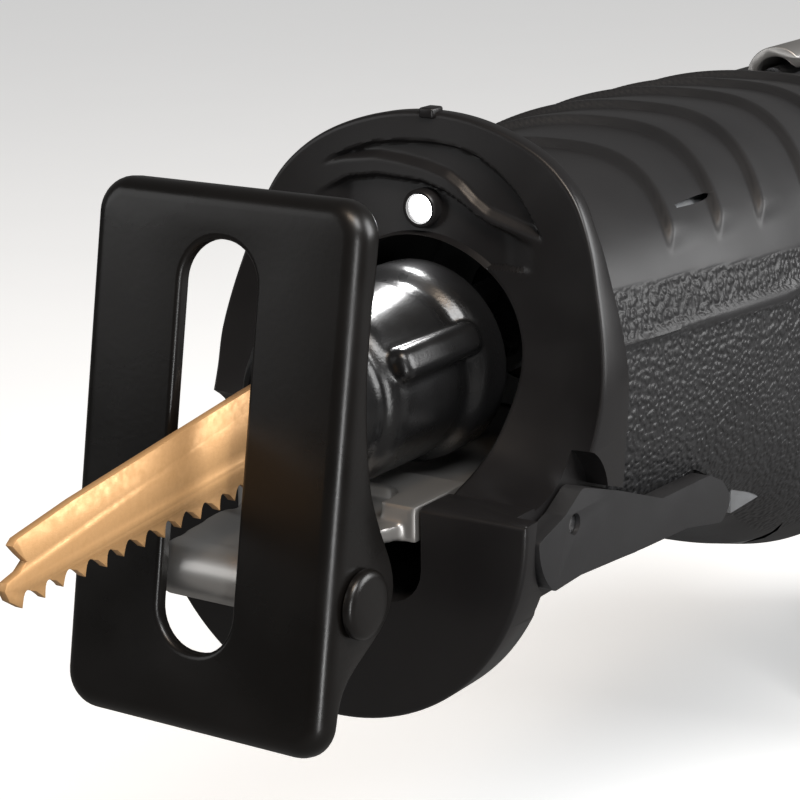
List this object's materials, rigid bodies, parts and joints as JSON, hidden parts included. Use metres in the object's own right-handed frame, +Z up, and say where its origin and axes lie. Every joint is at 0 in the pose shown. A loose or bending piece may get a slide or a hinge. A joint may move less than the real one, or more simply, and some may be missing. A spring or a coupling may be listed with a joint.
{
  "type": "reciprocating saw",
  "caption": "Cordless reciprocating saw with a tilting slotted shoe, clamped blade, rubber boot, lamp, D-handle with trigger and a slide-off battery.",
  "frame": {"origin": "on the ground plane under the middle of the saw's length, width and battery base", "axes": "-Y along the blade, +Z up, +X to the left of a person who holds the saw"},
  "size_m": [0.081, 0.4846, 0.209],
  "materials": {
    "black_steel": "gloss black paint",
    "phosphated_steel": "phosphated, edges worn bright",
    "bright_steel": "ground",
    "blade_steel": "matt tan metallic lacquer",
    "black_sleeve": "satin black",
    "rubber": "satin, stippled at the sides",
    "black_plastic": "fine moulded grain",
    "grey_plastic": "moulded",
    "cast_aluminium": "as cast",
    "bronze": "sintered bronze",
    "felt": "felt",
    "copper": "enamelled copper wire",
    "board": "coated circuit board",
    "lens": "clear, lit white",
    "zinc": "zinc plated"
  },
  "bodies": {
    "housing": {"battery_terminal": "grey_plastic", "controller_board": "board", "crank_lower_bearing": "bright_steel", "crank_upper_bearing": "bright_steel", "dust_seal": "felt", "front_bush": "bronze", "front_collar": "rubber", "front_motor_bearing": "bright_steel", "gear_housing": "cast_aluminium", "gear_housing_cover": "cast_aluminium", "hook_pin": "bright_steel", "housing_left": "black_plastic", "housing_right": "black_plastic", "housing_screw_1": "zinc", "housing_screw_2": "zinc", "housing_screw_3": "zinc", "housing_screw_4": "zinc", "housing_screw_5": "zinc", "housing_screw_6": "zinc", "insulation_boot": "rubber", "led_holder": "black_plastic", "led_lens": "lens", "lever_pin_left": "bright_steel", "lever_pin_right": "bright_steel", "rear_bush": "bronze", "rear_grip": "rubber", "rear_motor_bearing": "bright_steel", "sensor_board": "board", "stator": "copper", "switch_module": "black_plastic", "trigger_spring": "bright_steel"},
    "crank": {"crank_gear": "phosphated_steel", "crank_roller": "bright_steel", "crank_shaft": "bright_steel"},
    "rotor": {"motor_pinion": "bright_steel", "motor_shaft": "bright_steel", "rotor_core": "phosphated_steel", "cooling_fan": "black_plastic"},
    "slider": {"slider": "bright_steel", "blade_clamp_body": "phosphated_steel", "clamp_lock_pin": "bright_steel", "clamp_spring": "bright_steel", "saw_blade": "blade_steel"},
    "clamp_sleeve": {"blade_clamp_sleeve": "black_sleeve"},
    "rail": {"shoe_rail": "phosphated_steel"},
    "shoe": {"shoe": "black_steel", "shoe_pivot_pin": "black_steel"},
    "lever": {"shoe_lock_lever": "black_plastic"},
    "trigger": {"trigger": "grey_plastic"},
    "lock_off": {"lock_off_button": "grey_plastic"},
    "hook": {"rafter_hook": "phosphated_steel"},
    "battery": {"battery_case_upper": "black_plastic", "battery_case_lower": "black_plastic", "cell_block": "grey_plastic", "latch_spring": "bright_steel"},
    "latch": {"battery_latch": "grey_plastic"},
    "charge_key": {"charge_button": "grey_plastic"}
  },
  "joints": [
    {"name": "crank_spin", "type": "hinge", "parent": "housing", "child": "crank", "pos_m": [0, -0.04485, 0.168], "axis": [0, 0, 1], "range_deg": [0, 180]},
    {"name": "slider_stroke", "type": "slide", "parent": "housing", "child": "slider", "axis": [0, 1, 0], "range_m": [0, 0.032]},
    {"name": "motor_spin", "type": "hinge", "parent": "housing", "child": "rotor", "pos_m": [0, -0.19885, 0.156], "axis": [0, 1, 0], "range_deg": [0, 585]},
    {"name": "sleeve_twist", "type": "hinge", "parent": "slider", "child": "clamp_sleeve", "pos_m": [0, -0.19885, 0.17], "axis": [0, 1, 0], "range_deg": [0, 70], "stiffness_Nm_per_rad": 0.1},
    {"name": "rail_slide", "type": "slide", "parent": "housing", "child": "rail", "axis": [0, -1, 0], "range_m": [0, 0.03]},
    {"name": "shoe_swing", "type": "hinge", "parent": "rail", "child": "shoe", "pos_m": [0, -0.19495, 0.1492], "axis": [1, 0, 0], "range_deg": [-20, 20]},
    {"name": "lever_swing", "type": "hinge", "parent": "housing", "child": "lever", "pos_m": [0, -0.15485, 0.1515], "axis": [1, 0, 0], "range_deg": [-50, 0]},
    {"name": "trigger_pull", "type": "slide", "parent": "housing", "child": "trigger", "axis": [0, 1, 0], "range_m": [0, 0.007], "stiffness_N_per_m": 900},
    {"name": "lock_off_press", "type": "slide", "parent": "housing", "child": "lock_off", "axis": [-1, 0, 0], "range_m": [0, 0.003], "stiffness_N_per_m": 900},
    {"name": "hook_swing", "type": "hinge", "parent": "housing", "child": "hook", "pos_m": [0, -0.00885, 0.1975], "axis": [0, 1, 0], "range_deg": [-95, 0]},
    {"name": "battery_slide", "type": "slide", "parent": "housing", "child": "battery", "axis": [0, 1, 0], "range_m": [0, 0.115]},
    {"name": "latch_press", "type": "slide", "parent": "battery", "child": "latch", "axis": [0, 0, -1], "range_m": [0, 0.0025], "stiffness_N_per_m": 1000},
    {"name": "charge_key_press", "type": "slide", "parent": "battery", "child": "charge_key", "axis": [0, -1, 0], "range_m": [0, 0.001], "stiffness_N_per_m": 1000}
  ],
  "couplings": [
    {"joint": "slider_stroke", "follows": "crank_spin", "m_per_rad": 0.010186},
    {"joint": "motor_spin", "follows": "crank_spin", "ratio": 3.25}
  ]
}
